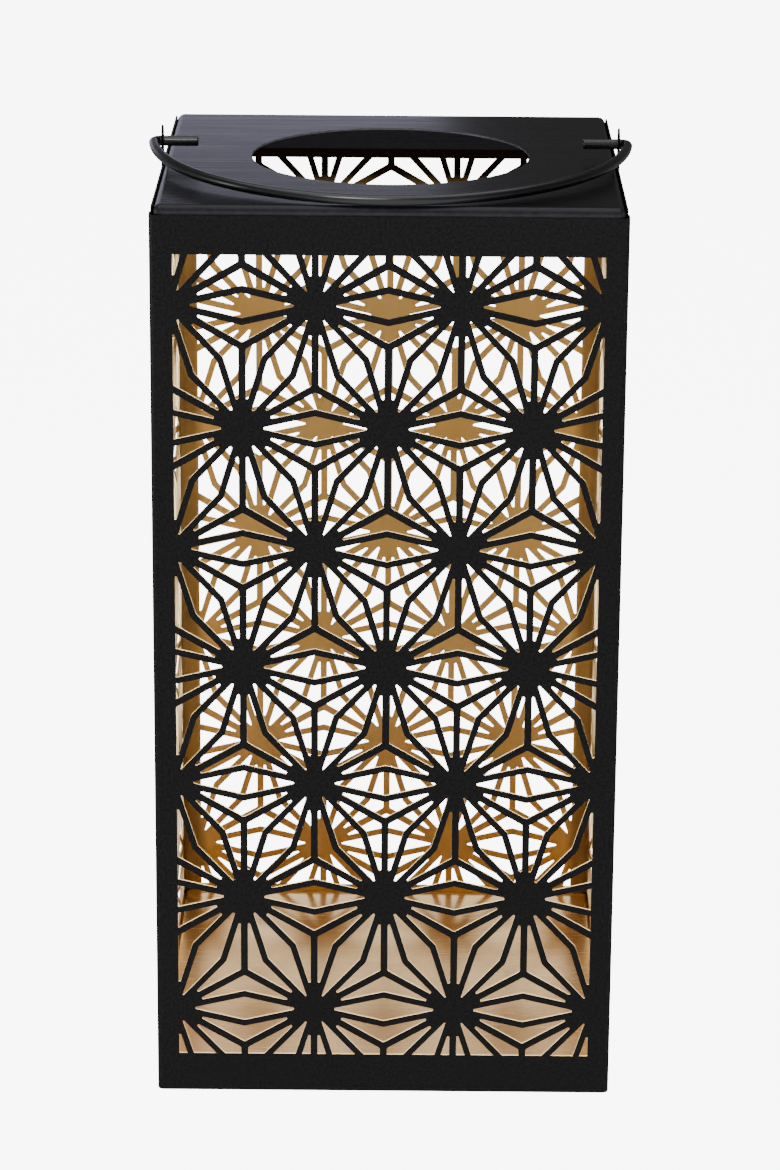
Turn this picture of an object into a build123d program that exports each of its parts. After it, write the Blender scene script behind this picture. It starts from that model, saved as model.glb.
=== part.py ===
from build123d import *
from math import atan, atan2, asin, cos, degrees, radians, sqrt
import os

os.makedirs("parts", exist_ok=True)

# Whole lantern, in millimetres: X to the right, Y to the back, Z up, origin in the middle of the foot.
BODY_WIDTH = 200.0
BODY_DEPTH = 200.0
TOP_HEIGHT = 400.0
SHEET = 0.8
HALF_WIDTH = BODY_WIDTH / 2
HALF_DEPTH = BODY_DEPTH / 2

# Front and back panels wrap the corners: a bend, then a short flange lapped over the side panels.
WRAP_PANEL_HEIGHT = 396.0
WRAP_BEND_RADIUS = 2.8
WRAP_FLANGE_DEPTH = 8.0

# Side panels stand between the two wraps, one sheet further in.
SIDE_PANEL_HEIGHT = 399.0
SIDE_PANEL_HALF_LENGTH = 97.0

# The cut-out field of every panel.
WINDOW_WIDTH = 180.5
WINDOW_HEIGHT = 361.8
WINDOW_CENTRE_HEIGHT = 198.6

# Star lattice: hubs on a triangular grid, joined by straight and bent struts.
HUB_SPACING = 61.3
ROWS_EACH_WAY = 4
HUBS_EACH_WAY = 3
STRAIGHT_STRUT = 3.1
BENT_STRUT = 2.85
DIAMOND_HALF_LENGTH = 0.386 * HUB_SPACING
DIAMOND_HALF_HEIGHT = 0.0895 * HUB_SPACING
TIP_RADIUS = 0.55
LONG_TIP_HALF_LENGTH = 0.402 * HUB_SPACING
LONG_TIP_RADIUS = 0.3
SOFT_CORNER_RADIUS = 1.2
SMALLEST_OPENING_AREA = 6.0

# Top plate: a shallow pan turned down inside the panels, with a round hand hole.
TOP_PAN_DEPTH = 16.0
TOP_BEND_RADIUS = 3.4
PAN_CORNER_RADIUS = 3.6
TOP_HOLE_RADIUS = 60.8
TOP_HOLE_SETBACK = 6.0

# Base plate: the same kind of pan, its floor raised above the foot.
FLOOR_HEIGHT = 15.0
BASE_PAN_DEPTH = 14.0
BASE_BEND_RADIUS = 1.8

# Ears: upright lugs on the outside of the side panels, drilled for the wire handle.
EAR_WIDTH = 9.5
EAR_BOTTOM_HEIGHT = 385.0
EAR_TOP_HEIGHT = 414.0
PIVOT_HEIGHT = 407.0
EAR_HOLE_RADIUS = 2.4

# Handle: one length of round wire, folded down over the front of the top plate.
WIRE_RADIUS = 2.25
WIRE_END_X = 84.0
WIRE_END_CHAMFER = 0.4
BAIL_RADIUS = 103.6
BAIL_CENTRE_Y = 5.9
EAR_BEND_RADIUS = 3.0
REST_DROP = 4.5

WRAP_INNER_X = HALF_WIDTH - SHEET
WRAP_INNER_Y = HALF_DEPTH - SHEET
SIDE_INNER_X = WRAP_INNER_X - SHEET


def softened(points, right_tip_radius=TIP_RADIUS):
    """A four-cornered opening with its two end tips and its two middle corners rounded."""
    shape = Polygon(*points, align=None)
    shape = fillet(shape.vertices().sort_by(Axis.X)[-1], right_tip_radius)
    shape = fillet(shape.vertices().sort_by(Axis.X)[0], TIP_RADIUS)
    middle = shape.vertices().filter_by(lambda v: abs(v.X) < SOFT_CORNER_RADIUS / 10)
    return fillet(middle, SOFT_CORNER_RADIUS)


def diamond_opening():
    """The long diamond that lies along the line between two hubs."""
    length = DIAMOND_HALF_LENGTH
    height = DIAMOND_HALF_HEIGHT
    return softened([(-length, 0), (0, -height), (length, 0), (0, height)])


def long_tipped_diamond():
    """The diamond on a slanting line, whose right tip runs closer to its hub."""
    length = DIAMOND_HALF_LENGTH
    height = DIAMOND_HALF_HEIGHT
    points = [(-length, 0), (0, -height), (LONG_TIP_HALF_LENGTH, 0), (0, height)]
    return softened(points, LONG_TIP_RADIUS)


def chevron_opening():
    """The bent arrowhead between a bent strut and the two straight struts of one triangle."""
    slope = DIAMOND_HALF_HEIGHT / DIAMOND_HALF_LENGTH
    notch = DIAMOND_HALF_HEIGHT + BENT_STRUT / cos(atan(slope))
    junction = HUB_SPACING / (2 * sqrt(3))
    apex = junction - STRAIGHT_STRUT / 2 / cos(radians(30))
    tip_x = (apex - notch) / (1 / sqrt(3) - slope)
    tip_y = notch - slope * tip_x
    return softened([(-tip_x, tip_y), (0, notch), (tip_x, tip_y), (0, apex)])


def lattice_places():
    """Middle point and direction of each line between neighbouring hubs, and whether it slants.

    A slanting line points from its even row to its odd row, where the long tips are.
    """
    row_spacing = HUB_SPACING * sqrt(3) / 2
    for row in range(-ROWS_EACH_WAY, ROWS_EACH_WAY + 1):
        shift = HUB_SPACING / 2 * (row % 2)
        for column in range(-HUBS_EACH_WAY, HUBS_EACH_WAY + 1):
            hub = Vector(column * HUB_SPACING + shift, row * row_spacing)
            for angle in (0, 60, 120):
                middle = hub + Vector(HUB_SPACING / 2, 0).rotate(Axis.Z, angle)
                slants = angle > 0
                turn = angle + 180 if slants and row % 2 else angle
                yield Location((middle.X, middle.Y, 0), (0, 0, turn)), slants


def window_openings():
    """Every opening of one panel, trimmed straight where it meets the edge of the window."""
    window = Rectangle(WINDOW_WIDTH, WINDOW_HEIGHT)
    level_diamond = diamond_opening()
    slanting_diamond = long_tipped_diamond()
    chevron = chevron_opening()
    half_turn = Location((0, 0, 0), (0, 0, 180))
    faces = []
    for place, slants in lattice_places():
        diamond = slanting_diamond if slants else level_diamond
        for opening in (place * diamond, place * chevron, place * half_turn * chevron):
            faces += (opening & window).faces() if opening & window else []
    return [face for face in faces if face.area > SMALLEST_OPENING_AREA]


OPENINGS = window_openings()


def lattice_sheet(half_length, height):
    """A flat upright sheet in the XY plane, foot at Y = 0, cut through with the whole lattice."""
    outline = Pos(0, height / 2) * Rectangle(2 * half_length, height)
    holes = [(Pos(0, WINDOW_CENTRE_HEIGHT) * face).outer_wire() for face in OPENINGS]
    return extrude(Face(outline.face().outer_wire(), holes), SHEET)


def wrap_strip():
    """The rounded corner bend and the flange on the right of the front panel."""
    bend_x = HALF_WIDTH - WRAP_BEND_RADIUS
    bend_y = WRAP_BEND_RADIUS - HALF_DEPTH
    ring = Circle(WRAP_BEND_RADIUS) - Circle(WRAP_BEND_RADIUS - SHEET)
    quarter = Rectangle(WRAP_BEND_RADIUS, WRAP_BEND_RADIUS, align=(Align.MIN, Align.MAX))
    flange_length = WRAP_FLANGE_DEPTH - WRAP_BEND_RADIUS
    flange = Rectangle(SHEET, flange_length, align=(Align.MAX, Align.MIN))
    profile = Pos(bend_x, bend_y) * (ring & quarter) + Pos(HALF_WIDTH, bend_y) * flange
    return extrude(profile, WRAP_PANEL_HEIGHT)


def wrap_panel():
    """Front panel: the lattice sheet with a wrapped flange down each side."""
    face_plane = Plane(origin=(0, SHEET - HALF_DEPTH, 0), x_dir=(1, 0, 0), z_dir=(0, -1, 0))
    sheet = face_plane * lattice_sheet(HALF_WIDTH - WRAP_BEND_RADIUS, WRAP_PANEL_HEIGHT)
    strip = wrap_strip()
    return sheet + strip + mirror(strip, Plane.YZ)


def side_panel():
    """Right panel: the lattice sheet, flat, standing just inside the wrapped flanges."""
    face_plane = Plane(origin=(SIDE_INNER_X, 0, 0), x_dir=(0, 1, 0), z_dir=(1, 0, 0))
    return face_plane * lattice_sheet(SIDE_PANEL_HALF_LENGTH, SIDE_PANEL_HEIGHT)


def pan(depth, bend_radius):
    """A sheet pan open below, its flat at Z = 0 and its rim turned down against the panels."""
    solids = []
    for inset in (0, SHEET):
        size_x = 2 * (SIDE_INNER_X - inset)
        size_y = 2 * (WRAP_INNER_Y - inset)
        block = Box(size_x, size_y, depth, align=(Align.CENTER, Align.CENTER, Align.MAX))
        block = fillet(block.edges().filter_by(Axis.Z), PAN_CORNER_RADIUS - inset)
        block = fillet(block.faces().sort_by(Axis.Z)[-1].edges(), bend_radius - inset)
        solids.append(Pos(0, 0, -inset) * block)
    return solids[0] - solids[1]


def top_plate():
    """The top pan with its round hand hole."""
    hole = Pos(0, TOP_HOLE_SETBACK, 0) * Cylinder(TOP_HOLE_RADIUS, 4 * SHEET)
    return Pos(0, 0, TOP_HEIGHT) * (pan(TOP_PAN_DEPTH, TOP_BEND_RADIUS) - hole)


def ear():
    """Right ear: a round-headed lug lapped on the outside of the side panel."""
    head_height = EAR_TOP_HEIGHT - EAR_WIDTH / 2
    shank_length = head_height - EAR_BOTTOM_HEIGHT
    shank = Rectangle(EAR_WIDTH, shank_length, align=(Align.CENTER, Align.MAX))
    outline = Pos(0, head_height) * (shank + Circle(EAR_WIDTH / 2))
    outline -= Pos(0, PIVOT_HEIGHT) * Circle(EAR_HOLE_RADIUS)
    face_plane = Plane(origin=(WRAP_INNER_X, 0, 0), x_dir=(0, 1, 0), z_dir=(1, 0, 0))
    return extrude(face_plane * outline, SHEET)


def handle():
    """The wire handle: straight ends through the ears, a tight bend, then one wide arc."""
    reach = BAIL_RADIUS - EAR_BEND_RADIUS
    drop = BAIL_CENTRE_Y + EAR_BEND_RADIUS
    bend_x = sqrt(reach ** 2 - drop ** 2)
    turn = degrees(atan2(drop, bend_x))
    start = Line((WIRE_END_X, 0), (bend_x, 0))
    tight = CenterArc((bend_x, -EAR_BEND_RADIUS), EAR_BEND_RADIUS, 90, -90 - turn)
    wide = CenterArc((0, BAIL_CENTRE_Y), BAIL_RADIUS, -turn, 2 * turn - 180)
    path = Wire([*start.edges(), *tight.edges(), *wide.edges()])
    path = Wire([*path.edges(), *mirror(start, Plane.YZ).edges(), *mirror(tight, Plane.YZ).edges()])
    section = Plane(origin=(WIRE_END_X, 0, 0), z_dir=(1, 0, 0)) * Circle(WIRE_RADIUS)
    wire = sweep(section, path)
    ends = wire.faces().filter_by(Axis.X).edges()
    wire = chamfer(ends, WIRE_END_CHAMFER)
    rest_angle = degrees(asin(REST_DROP / (BAIL_RADIUS - BAIL_CENTRE_Y)))
    return Pos(0, 0, PIVOT_HEIGHT) * Rot(rest_angle, 0, 0) * wire


def base_plate():
    """The base pan, raised so that its flat is the floor of the lantern."""
    return Pos(0, 0, FLOOR_HEIGHT) * pan(BASE_PAN_DEPTH, BASE_BEND_RADIUS)


front_panel = wrap_panel()
right_panel = side_panel()
right_ear = ear()

nodes = {
    "front_panel": front_panel,
    "back_panel": Rot(0, 0, 180) * front_panel,
    "right_panel": right_panel,
    "left_panel": Rot(0, 0, 180) * right_panel,
    "top_plate": top_plate(),
    "base_plate": base_plate(),
    "right_ear": right_ear,
    "left_ear": mirror(right_ear, Plane.YZ),
    "handle": handle(),
}
for name, shape in nodes.items():
    export_step(shape, f"parts/{name}.step")
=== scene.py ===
import math

import bpy
from mathutils import Euler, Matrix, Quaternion, Vector

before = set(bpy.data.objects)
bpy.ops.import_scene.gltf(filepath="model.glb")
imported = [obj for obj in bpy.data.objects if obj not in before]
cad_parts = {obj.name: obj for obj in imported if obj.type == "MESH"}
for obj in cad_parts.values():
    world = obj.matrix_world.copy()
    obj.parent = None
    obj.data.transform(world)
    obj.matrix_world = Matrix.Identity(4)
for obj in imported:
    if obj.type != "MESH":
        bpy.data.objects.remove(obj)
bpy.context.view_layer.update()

# ---- Four lattice walls -------------------------------------------------------------
# Walls of 0.8 mm steel sheet, laser cut with a star lattice. The front and back wrap
# over the sides and are spot welded to them. The outside is black powder coat, and a gold
# lacquer sprayed from the inside covers the cut edges too, with painted shade at corners and top.

MM = 0.001
JOIN_WITHIN = 0.002 * MM
EDGE_BREAK = 0.04 * MM
SHARP_EDGE = math.radians(40)
POWDER_GRAIN = 1.0 * MM
POWDER_PATCH = 60 * MM
POWDER_RELIEF = 0.05 * MM
# Streaks in a lacquer on rubbed sheet are finer than this. They are drawn coarser to show.
LACQUER_STREAK = 1.2 * MM
LACQUER_STREAK_LENGTH = 60 * MM
LACQUER_CLOUD = 45 * MM
LACQUER_RELIEF = 0.05 * MM
# Heights between which painted shade darkens the gold under the top, and distances from the
# middle planes between which painted shade turns it browner toward a corner.
GOLD_FULL = 0.350
GOLD_NONE = 0.372
CORNER_FROM = 0.087
CORNER_TO = 0.092
# Where the outer faces, the corner folds, the foot and head edges and the windows lie.
OUTSIDE_FROM = 0.0988
FOLD_FROM = 0.0984
FOOT_EDGE = 0.005
HEAD_EDGE = 0.390
WINDOW_FOOT = 0.017
WINDOW_REACH = 0.0906
# A face that leans less than this out of the wall is an edge of the sheet, and one that
# points up or down by more than this is level.
EDGE_LEAN = 0.3
LEVEL_FACE = 0.9
# Sockets of a Mix node that blends two colours, and the range most noise stays in.
MIX_FACTOR = 0
MIX_FIRST = 6
MIX_SECOND = 7
MIX_RESULT = 2
NOISE_LOW = 0.3
NOISE_HIGH = 0.7


def linear(hex_colour):
    """An sRGB hex colour as linear RGBA."""
    parts = [int(hex_colour[i:i + 2], 16) / 255 for i in (1, 3, 5)]
    return [p / 12.92 if p <= 0.04045 else ((p + 0.055) / 1.055) ** 2.4 for p in parts] + [1]


def add_node(tree, kind, settings, links=()):
    """A node of one kind, with its settings by name and (socket, source) links into it."""
    node = tree.nodes.new(kind)
    for name, value in settings.items():
        if isinstance(name, int) or name in node.inputs:
            node.inputs[name].default_value = value
        else:
            setattr(node, name, value)
    for socket, source in links:
        tree.links.new(source, node.inputs[socket])
    return node


def new_finish(name, settings):
    """A material with its fixed shader settings, its node tree and its shader."""
    finish = bpy.data.materials.new(name)
    finish.use_nodes = True
    shader = finish.node_tree.nodes["Principled BSDF"]
    for socket, value in settings.items():
        shader.inputs[socket].default_value = value
    return finish, finish.node_tree, shader


def texture(tree, shader, gloss, relief):
    """Lets one pattern vary the gloss and another raise the surface.

    gloss is a pattern with its least and greatest roughness, relief one with its depth and strength.
    """
    pattern, least, greatest = gloss
    spread = {"From Min": NOISE_LOW, "From Max": NOISE_HIGH, "To Min": least, "To Max": greatest}
    rough = add_node(tree, "ShaderNodeMapRange", spread, [("Value", pattern.outputs[0])])
    tree.links.new(rough.outputs[0], shader.inputs["Roughness"])
    pattern, depth, strength = relief
    raised = {"Distance": depth, "Strength": strength}
    bump = add_node(tree, "ShaderNodeBump", raised, [("Height", pattern.outputs[0])])
    tree.links.new(bump.outputs[0], shader.inputs["Normal"])


def black_powder_coat():
    """Satin black powder coat: near black, faint orange peel, soft wide reflections."""
    finish, tree, shader = new_finish("black_powder_coat", {"Specular IOR Level": 0.07})
    place = add_node(tree, "ShaderNodeTexCoord", {}).outputs["Object"]
    patch = add_node(tree, "ShaderNodeTexNoise", {"Scale": 1 / POWDER_PATCH}, [("Vector", place)])
    fine = {"Scale": 1 / POWDER_GRAIN, "Detail": 4}
    grain = add_node(tree, "ShaderNodeTexNoise", fine, [("Vector", place)])
    speckle = {"From Min": 0.35, "From Max": 0.65}
    speck = add_node(tree, "ShaderNodeMapRange", speckle, [("Value", grain.outputs[0])])
    shades = {"data_type": "RGBA", MIX_FIRST: linear("#020203"), MIX_SECOND: linear("#0A0909")}
    colour = add_node(tree, "ShaderNodeMix", shades, [(MIX_FACTOR, speck.outputs[0])])
    tree.links.new(colour.outputs[MIX_RESULT], shader.inputs["Base Color"])
    texture(tree, shader, (patch, 0.34, 0.46), (grain, POWDER_RELIEF, 0.9))
    return finish


def gold_lacquer():
    """Gold lacquer over steel: warm streaky metal, with painted shade browning the corners and
    darkening the top.
    """
    finish, tree, shader = new_finish("gold_lacquer", {"Metallic": 1.0})
    place = add_node(tree, "ShaderNodeTexCoord", {}).outputs["Object"]
    cloud = add_node(tree, "ShaderNodeTexNoise", {"Scale": 1 / LACQUER_CLOUD}, [("Vector", place)])
    upright = {"Scale": (1, 1, LACQUER_STREAK / LACQUER_STREAK_LENGTH)}
    drawn = add_node(tree, "ShaderNodeMapping", upright, [("Vector", place)])
    fine = {"Scale": 1 / LACQUER_STREAK}
    streak = add_node(tree, "ShaderNodeTexNoise", fine, [("Vector", drawn.outputs[0])])
    shades = {"data_type": "RGBA", MIX_FIRST: linear("#D2A65A"), MIX_SECOND: linear("#E8C27E")}
    gold = add_node(tree, "ShaderNodeMix", shades, [(MIX_FACTOR, cloud.outputs[0])])
    offset = add_node(tree, "ShaderNodeVectorMath", {"operation": "ABSOLUTE"}, [(0, place)])
    across = add_node(tree, "ShaderNodeSeparateXYZ", {}, [("Vector", offset.outputs[0])])
    lesser = [(0, across.outputs["X"]), (1, across.outputs["Y"])]
    corner = add_node(tree, "ShaderNodeMath", {"operation": "MINIMUM"}, lesser)
    reach = {"From Min": CORNER_FROM, "From Max": CORNER_TO}
    painted_corner_shade = add_node(tree, "ShaderNodeMapRange", reach, [("Value", corner.outputs[0])])
    # Painted shade: the gold turns browner near each inner corner of the walls.
    shades = {"data_type": "RGBA", MIX_SECOND: linear("#987A4A")}
    layers = [(MIX_FACTOR, painted_corner_shade.outputs[0]), (MIX_FIRST, gold.outputs[MIX_RESULT])]
    corner_shaded_gold = add_node(tree, "ShaderNodeMix", shades, layers)
    height = add_node(tree, "ShaderNodeSeparateXYZ", {}, [("Vector", place)]).outputs["Z"]
    reach = {"From Min": GOLD_FULL, "From Max": GOLD_NONE}
    painted_top_shade = add_node(tree, "ShaderNodeMapRange", reach, [("Value", height)])
    # Painted shade: the gold darkens to near black under the top plate.
    shades = {"data_type": "RGBA", MIX_SECOND: linear("#1B1310")}
    layers = [(MIX_FACTOR, painted_top_shade.outputs[0]), (MIX_FIRST, corner_shaded_gold.outputs[MIX_RESULT])]
    colour = add_node(tree, "ShaderNodeMix", shades, layers)
    tree.links.new(colour.outputs[MIX_RESULT], shader.inputs["Base Color"])
    texture(tree, shader, (streak, 0.28, 0.44), (streak, LACQUER_RELIEF, 0.4))
    return finish


def soften_edges(thing):
    """Joins the mesh and breaks its sharp edges, as paint and tumbling do."""
    weld = thing.modifiers.new("join", "WELD")
    weld.merge_threshold = JOIN_WITHIN
    bevel = thing.modifiers.new("broken_edges", "BEVEL")
    bevel.width = EDGE_BREAK
    bevel.segments = 2
    bevel.limit_method = "ANGLE"
    bevel.angle_limit = SHARP_EDGE
    bevel.miter_outer = "MITER_ARC"
    thing.modifiers.new("even_shading", "WEIGHTED_NORMAL")


def gold_cut_edge():
    """Gold lacquer pooled on the cut edges: paler and duller than the faces, so they catch light."""
    finish, tree, shader = new_finish("gold_cut_edge", {"Metallic": 0.2, "Roughness": 0.5})
    place = add_node(tree, "ShaderNodeTexCoord", {}).outputs["Object"]
    cut = add_node(tree, "ShaderNodeTexNoise", {"Scale": 1 / POWDER_GRAIN}, [("Vector", place)])
    shades = {"data_type": "RGBA", MIX_FIRST: linear("#E2BC7C"), MIX_SECOND: linear("#F6E2B8")}
    colour = add_node(tree, "ShaderNodeMix", shades, [(MIX_FACTOR, cut.outputs[0])])
    tree.links.new(colour.outputs[MIX_RESULT], shader.inputs["Base Color"])
    return finish


def coat(thing, finishes, choose):
    """Gives each polygon the finish whose number choose returns."""
    thing.data.materials.clear()
    for finish in finishes:
        thing.data.materials.append(finish)
    for polygon in thing.data.polygons:
        polygon.material_index = choose(polygon.center, polygon.normal)


def outer_skin(centre, heading):
    """True on the outside of the wall that heading looks out of, and on the corner folds."""
    axis = 0 if abs(heading.x) > abs(heading.y) else 1
    return abs(centre[axis]) > OUTSIDE_FROM or min(abs(centre.x), abs(centre.y)) > FOLD_FROM


def wall_finish(centre, normal):
    """0 on the outer skin and the foot and head edges, 2 on the cut edges, 1 inside."""
    if abs(normal.z) > LEVEL_FACE and not FOOT_EDGE < centre.z < HEAD_EDGE:
        return 0
    outward = Vector((centre.x, centre.y)).normalized()
    if Vector((normal.x, normal.y)).dot(outward) > EDGE_LEAN and outer_skin(centre, normal):
        return 0
    axis = 1 if abs(centre.y) > abs(centre.x) else 0
    in_window = abs(centre[1 - axis]) < WINDOW_REACH and WINDOW_FOOT < centre.z < GOLD_FULL
    return 2 if in_window and abs(normal[axis]) < EDGE_LEAN else 1


BLACK = black_powder_coat()
CUT_EDGE = gold_cut_edge()
GOLD = gold_lacquer()

for name in ("front_panel", "back_panel", "left_panel", "right_panel"):
    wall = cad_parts[name]
    coat(wall, (BLACK, GOLD, CUT_EDGE), wall_finish)
    soften_edges(wall)

# ---- Top plate ----------------------------------------------------------------------
# A shallow pan of the same sheet with a round hand hole, its rim turned down inside the
# walls and spot welded. Satin black over brushed sheet, with a painted grey sheen in specks along
# the front fold.

# Lines on brushed sheet are a fraction of this apart. They are drawn coarser to show.
BRUSH_LINE = 0.7 * MM
BRUSH_LENGTH = 45 * MM
BRUSH_RELIEF = 0.02 * MM
SHEEN_FROM = -0.0955
SHEEN_TO = -0.0975
SHEEN_SPECK = 2.5 * MM
HOLE_REACH = 0.0622
HOLE_SETBACK = 0.006
RIM_TILT = 0.5


def brushed_black():
    """Thin satin black over brushed sheet: cool black, long level lines, a painted grey sheen on the
    front fold.
    """
    finish, tree, shader = new_finish("brushed_satin_black", {"Specular IOR Level": 0.2})
    place = add_node(tree, "ShaderNodeTexCoord", {}).outputs["Object"]
    level = {"Scale": (BRUSH_LINE / BRUSH_LENGTH, 1, 1)}
    drawn = add_node(tree, "ShaderNodeMapping", level, [("Vector", place)])
    brush = {"Scale": 1 / BRUSH_LINE, "Detail": 4}
    line = add_node(tree, "ShaderNodeTexNoise", brush, [("Vector", drawn.outputs[0])])
    shades = {"data_type": "RGBA", MIX_FIRST: linear("#060609"), MIX_SECOND: linear("#0B0A10")}
    black = add_node(tree, "ShaderNodeMix", shades, [(MIX_FACTOR, line.outputs[0])])
    depth = add_node(tree, "ShaderNodeSeparateXYZ", {}, [("Vector", place)]).outputs["Y"]
    reach = {"From Min": SHEEN_FROM, "From Max": SHEEN_TO}
    fold = add_node(tree, "ShaderNodeMapRange", reach, [("Value", depth)])
    specks = {"Scale": 1 / SHEEN_SPECK, "Detail": 5}
    speck = add_node(tree, "ShaderNodeTexNoise", specks, [("Vector", place)])
    both = [(0, fold.outputs[0]), (1, speck.outputs[0])]
    painted_fold_sheen = add_node(tree, "ShaderNodeMath", {"operation": "MULTIPLY"}, both)
    # Painted sheen: grey specks along the front fold stand in for light on the bend.
    shades = {"data_type": "RGBA", MIX_SECOND: linear("#202024")}
    layers = [(MIX_FACTOR, painted_fold_sheen.outputs[0]), (MIX_FIRST, black.outputs[MIX_RESULT])]
    colour = add_node(tree, "ShaderNodeMix", shades, layers)
    tree.links.new(colour.outputs[MIX_RESULT], shader.inputs["Base Color"])
    texture(tree, shader, (line, 0.26, 0.38), (line, BRUSH_RELIEF, 0.5))
    return finish


def thin_black_edge():
    """Laser cut edge under thin black: dull dark grey steel with fine cutting marks."""
    finish, tree, shader = new_finish("thin_black_cut_edge", {"Metallic": 0.7, "Roughness": 0.4})
    place = add_node(tree, "ShaderNodeTexCoord", {}).outputs["Object"]
    cut = add_node(tree, "ShaderNodeTexNoise", {"Scale": 1 / POWDER_GRAIN}, [("Vector", place)])
    shades = {"data_type": "RGBA", MIX_FIRST: linear("#38383C"), MIX_SECOND: linear("#646468")}
    colour = add_node(tree, "ShaderNodeMix", shades, [(MIX_FACTOR, cut.outputs[0])])
    tree.links.new(colour.outputs[MIX_RESULT], shader.inputs["Base Color"])
    return finish


def plate_finish(centre, normal):
    """1 on the cut rim of the hand hole, 0 elsewhere."""
    reach = math.hypot(centre.x, centre.y - HOLE_SETBACK)
    return 1 if reach < HOLE_REACH and abs(normal.z) < RIM_TILT else 0


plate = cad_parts["top_plate"]
coat(plate, (brushed_black(), thin_black_edge()), plate_finish)
soften_edges(plate)

# ---- Base plate ---------------------------------------------------------------------
# The floor of the lantern, a pan of brushed sheet under a thin champagne lacquer, spot
# welded by its rim between the walls.

FLOOR_RELIEF = 0.008 * MM


def champagne_floor():
    """Brushed sheet under pale champagne lacquer: fine level streaks, soft reflections."""
    finish, tree, shader = new_finish("champagne_brushed_floor", {"Metallic": 0.9})
    place = add_node(tree, "ShaderNodeTexCoord", {}).outputs["Object"]
    cloud = add_node(tree, "ShaderNodeTexNoise", {"Scale": 1 / LACQUER_CLOUD}, [("Vector", place)])
    level = {"Scale": (BRUSH_LINE / BRUSH_LENGTH, 1, 1)}
    drawn = add_node(tree, "ShaderNodeMapping", level, [("Vector", place)])
    brush = {"Scale": 1 / BRUSH_LINE, "Detail": 4}
    line = add_node(tree, "ShaderNodeTexNoise", brush, [("Vector", drawn.outputs[0])])
    shades = {"data_type": "RGBA", MIX_FIRST: linear("#D0A970"), MIX_SECOND: linear("#DFBD88")}
    colour = add_node(tree, "ShaderNodeMix", shades, [(MIX_FACTOR, cloud.outputs[0])])
    tree.links.new(colour.outputs[MIX_RESULT], shader.inputs["Base Color"])
    texture(tree, shader, (line, 0.22, 0.28), (line, FLOOR_RELIEF, 0.3))
    return finish


def cover(thing, finish):
    """Gives the whole piece one finish."""
    thing.data.materials.clear()
    thing.data.materials.append(finish)


floor_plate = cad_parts["base_plate"]
cover(floor_plate, champagne_floor())
soften_edges(floor_plate)

# ---- Ears ---------------------------------------------------------------------------
# Two small lugs of the same sheet, powder coated black all over. Each is spot welded to
# the outside of a side wall and drilled for one end of the handle.

for name in ("left_ear", "right_ear"):
    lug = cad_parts[name]
    cover(lug, BLACK)
    soften_edges(lug)

# ---- Handle -------------------------------------------------------------------------
# One length of 4.5 mm round wire, bent cold, dipped in smooth satin black, with its two
# cut ends reaching in over the top plate.

DIP_PATCH = 50 * MM


def black_wire_coat():
    """Smooth satin black on drawn wire: glossier than the powder coat, with a clear highlight."""
    finish, tree, shader = new_finish("black_wire_coat", {"Specular IOR Level": 0.5})
    place = add_node(tree, "ShaderNodeTexCoord", {}).outputs["Object"]
    soft = {"Scale": 1 / DIP_PATCH, "Detail": 1}
    patch = add_node(tree, "ShaderNodeTexNoise", soft, [("Vector", place)])
    shades = {"data_type": "RGBA", MIX_FIRST: linear("#08080A"), MIX_SECOND: linear("#0E0E10")}
    colour = add_node(tree, "ShaderNodeMix", shades, [(MIX_FACTOR, patch.outputs[0])])
    tree.links.new(colour.outputs[MIX_RESULT], shader.inputs["Base Color"])
    spread = {"From Min": NOISE_LOW, "From Max": NOISE_HIGH, "To Min": 0.27, "To Max": 0.31}
    rough = add_node(tree, "ShaderNodeMapRange", spread, [("Value", patch.outputs[0])])
    tree.links.new(rough.outputs[0], shader.inputs["Roughness"])
    return finish


cover(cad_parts["handle"], black_wire_coat())

# ---- Studio floor, light and camera -------------------------------------------------
# A white floor that glows evenly and is kept out of the gloss, a wide dim soft box overhead,
# a pale card in front, strips behind and on the left, and three flagged lights that reach
# only the base plate, the front wall's cut edges and the handle.

FLOOR_GLOW = 8.0
SURROUND_FRONT = 0.85
SURROUND_BACK = 0.2
SURROUND_ABOVE = 0.11
SIDE_BLEND = 0.3
HORIZON_BLEND = 0.02
FLOOR_SPAN = 6.0
FLOOR_DROP = 0.1 * MM


def studio_floor():
    """White acrylic lit evenly from below, with a faint unevenness in its surface."""
    settings = {"Emission Color": (1, 1, 1, 1), "Emission Strength": FLOOR_GLOW, "Roughness": 0.9}
    finish, tree, shader = new_finish("studio_floor", settings)
    place = add_node(tree, "ShaderNodeTexCoord", {}).outputs["Object"]
    cloud = add_node(tree, "ShaderNodeTexNoise", {"Scale": 2}, [("Vector", place)])
    shades = {"data_type": "RGBA", MIX_FIRST: linear("#E2E2E2"), MIX_SECOND: linear("#EAEAEA")}
    colour = add_node(tree, "ShaderNodeMix", shades, [(MIX_FACTOR, cloud.outputs[0])])
    tree.links.new(colour.outputs[MIX_RESULT], shader.inputs["Base Color"])
    return finish


corners = [(x * FLOOR_SPAN, y * FLOOR_SPAN, 0) for x, y in ((-1, -1), (1, -1), (1, 1), (-1, 1))]
mesh = bpy.data.meshes.new("studio_floor")
mesh.from_pydata(corners, [], [(0, 1, 2, 3)])
mesh.materials.append(studio_floor())
ground = bpy.data.objects.new("studio_floor", mesh)
ground.location.z = -FLOOR_DROP
ground.visible_glossy = False
ground.visible_shadow = False
bpy.context.scene.collection.objects.link(ground)


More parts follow.
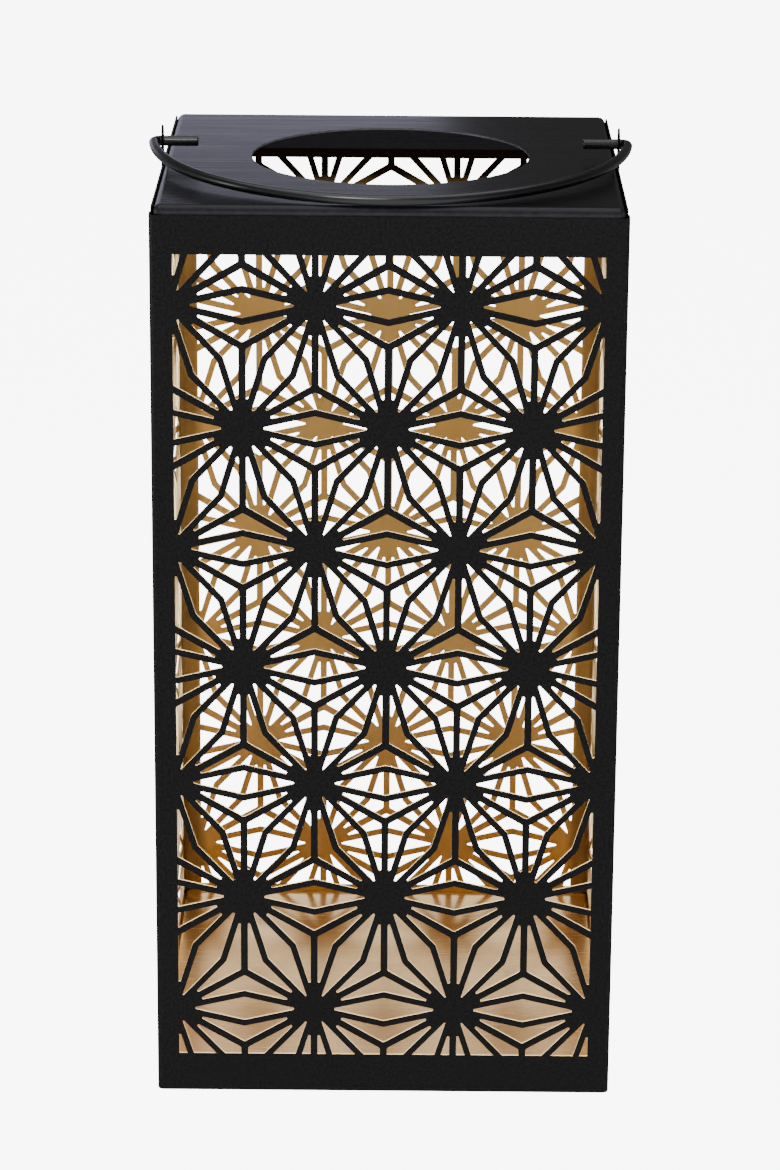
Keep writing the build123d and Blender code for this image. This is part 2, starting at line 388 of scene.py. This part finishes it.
def soft_box(name, place, aim, width, height, radiance, tint="#FFFFFF", flagged_to=()):
    """A rectangular light of one brightness. With flagged_to, it lights only those pieces."""
    lamp = bpy.data.lights.new(name, "AREA")
    lamp.shape = "RECTANGLE"
    lamp.size = width
    lamp.size_y = height
    lamp.energy = math.pi * width * height * radiance
    lamp.color = linear(tint)[:3]
    box = bpy.data.objects.new(name, lamp)
    box.location = place
    box.rotation_euler = (Vector(aim) - Vector(place)).to_track_quat("-Z", "Y").to_euler()
    box.visible_camera = False
    bpy.context.scene.collection.objects.link(box)
    if flagged_to:
        lit = bpy.data.collections.new(name + "_lights")
        for node in flagged_to:
            lit.objects.link(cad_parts[node])
        box.light_linking.receiver_collection = lit


soft_box("overhead_soft_box", (-0.1, 0, 1.5), (-0.1, 0.01, 0), 1.4, 1.4, 2.0)
soft_box("front_card", (0, -2.4, 0.7), (0, 0, 0.2), 1.6, 1.0, 1.0)
soft_box("floor_card", (0, 4.0, 1.9), (0, 0, 0.2), 2.6, 0.8, 2.6, "#FFFFFF", ("base_plate",))
soft_box("edge_light", (0, -0.7, 1.7), (0, -0.1, 0.2), 1.2, 0.5, 52.0, "#FFFFFF", ("front_panel",))
soft_box("back_left_strip", (-0.26, 0.6, 0.45), (-0.26, 0, 0.45), 0.58, 0.18, 1.3, "#E4E2FF")
soft_box("left_strip", (-0.9, -0.2, 0.3), (-0.1, -0.1, 0.25), 0.15, 0.6, 7.0)
soft_box("wire_light", (-0.4, -1.2, 1.5), (0, 0, 0.4), 0.5, 0.5, 20.0, "#FFFFFF", ("handle",))

world = bpy.data.worlds.new("dim_surround")
world.use_nodes = True
sky = world.node_tree
heading = add_node(sky, "ShaderNodeTexCoord", {}).outputs["Generated"]
parts = add_node(sky, "ShaderNodeSeparateXYZ", {}, [("Vector", heading)])
front_to_back = {
    "From Min": -SIDE_BLEND,
    "From Max": SIDE_BLEND,
    "To Min": SURROUND_FRONT,
    "To Max": SURROUND_BACK,
}
below = add_node(sky, "ShaderNodeMapRange", front_to_back, [("Value", parts.outputs["Y"])])
horizon = {"From Min": -HORIZON_BLEND, "From Max": HORIZON_BLEND, "To Max": SURROUND_ABOVE}
links = [("Value", parts.outputs["Z"]), ("To Min", below.outputs[0])]
strength = add_node(sky, "ShaderNodeMapRange", horizon, links)
sky.nodes["Background"].inputs["Color"].default_value = (1, 1, 1, 1)
sky.links.new(strength.outputs[0], sky.nodes["Background"].inputs["Strength"])
bpy.context.scene.world = world

CAMERA_PLACE = (0.0055, -1.7315, 0.7599)
CAMERA_DOWN = 0.3107
CAMERA_RIGHT = -0.0025
CAMERA_ROLL = 0.0075
CAMERA_LENS = 123.7

lens = bpy.data.cameras.new("camera")
lens.lens = CAMERA_LENS
camera = bpy.data.objects.new("camera", lens)
camera.location = CAMERA_PLACE
level = Euler((math.pi / 2 - CAMERA_DOWN, 0, -CAMERA_RIGHT)).to_quaternion()
camera.rotation_mode = "QUATERNION"
camera.rotation_quaternion = level @ Quaternion((0, 0, 1), CAMERA_ROLL)
bpy.context.scene.collection.objects.link(camera)
bpy.context.scene.camera = camera
